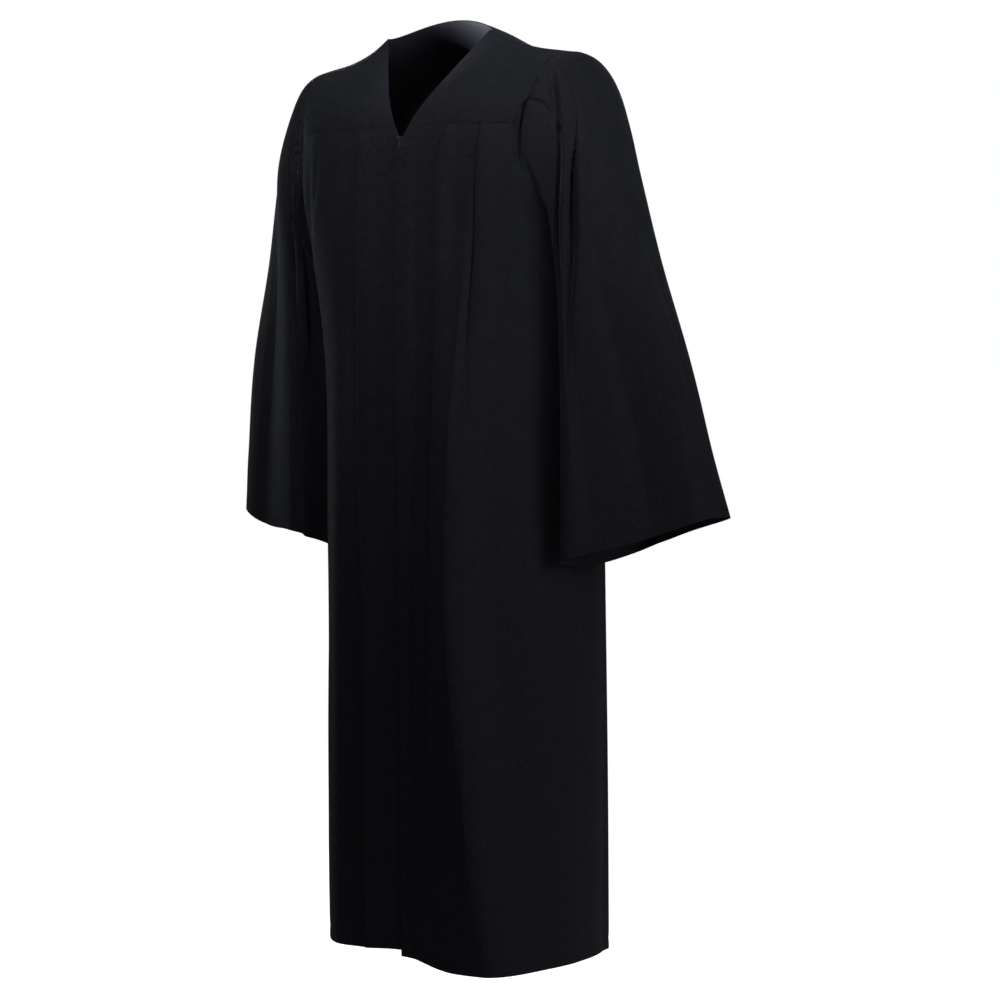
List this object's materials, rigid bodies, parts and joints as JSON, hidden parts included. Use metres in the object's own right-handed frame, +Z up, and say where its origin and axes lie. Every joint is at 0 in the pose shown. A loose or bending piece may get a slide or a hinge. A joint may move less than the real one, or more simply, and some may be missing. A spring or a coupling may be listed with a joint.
{
  "type": "graduation gown",
  "caption": "Long black graduation gown in its worn, hollow form: V neck, yoke, pleated fronts with a centre zip, fluted back and wide bell sleeves.",
  "frame": {"origin": "midway between the two points where the neck edge meets the shoulders, where the wearer's shoulders hold the gown up", "axes": "+Z up, -Y out of the wearer's front, +X to the wearer's left"},
  "size_m": [0.7776, 0.333, 1.27],
  "materials": {
    "gown_cloth": "matt black woven polyester with a soft bluish sheen",
    "zip_tape": "black woven tape",
    "zip_metal": "worn nickel"
  },
  "bodies": {
    "gown": {"yoke": "gown_cloth", "front_left": "gown_cloth", "front_right": "gown_cloth", "back": "gown_cloth", "sleeve_left": "gown_cloth", "sleeve_right": "gown_cloth", "zip_tape": "zip_tape", "zip_slider": "zip_metal"},
    "zip_pull_tab": {"zip_pull": "zip_metal"}
  },
  "joints": [
    {"name": "zip_pull_swing", "type": "hinge", "parent": "gown", "child": "zip_pull_tab", "pos_m": [0, -0.1118, -0.1451], "axis": [-1, 0, 0], "range_deg": [0, 150]}
  ]
}
